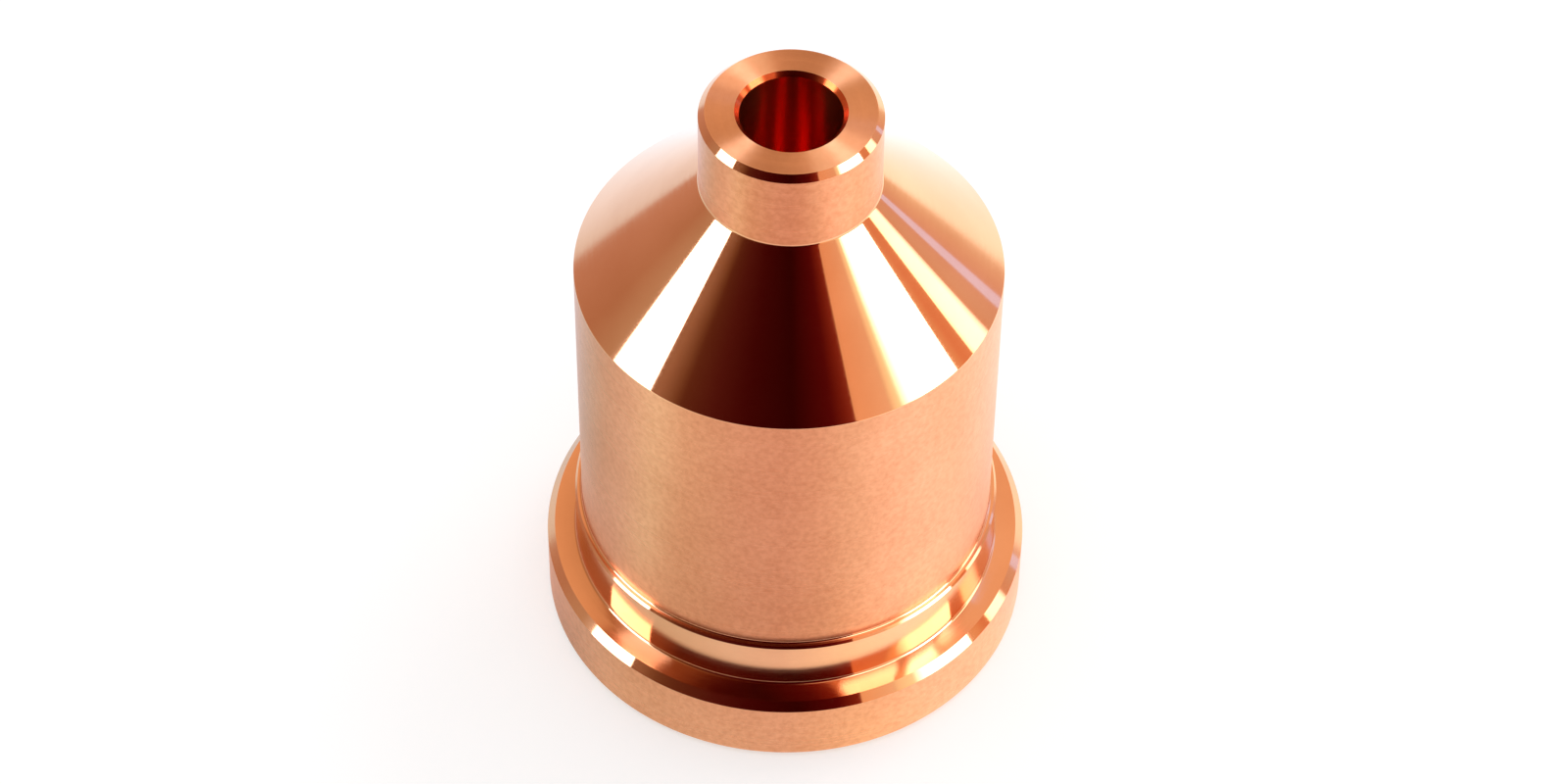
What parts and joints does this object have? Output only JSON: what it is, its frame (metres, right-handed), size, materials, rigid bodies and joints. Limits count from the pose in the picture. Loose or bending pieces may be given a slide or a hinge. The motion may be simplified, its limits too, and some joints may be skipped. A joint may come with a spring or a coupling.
{
  "type": "plasma torch nozzle",
  "caption": "Turned copper plasma torch nozzle: flanged round body with a locating ring, a cone and a short nose with a wide exit bore, hollow behind for the electrode.",
  "frame": {"origin": "centre of the back face, on the axis", "axes": "+Z along the axis, from the back face to the nose; the part is round, so +X and +Y are any two directions across it"},
  "size_m": [0.016, 0.016, 0.0222],
  "materials": {
    "copper": "bare turned copper: satin on the body, nose, faces and flange wall, bright on the cone and the broken edges"
  },
  "bodies": {
    "root": {"nozzle": "copper"}
  },
  "joints": []
}
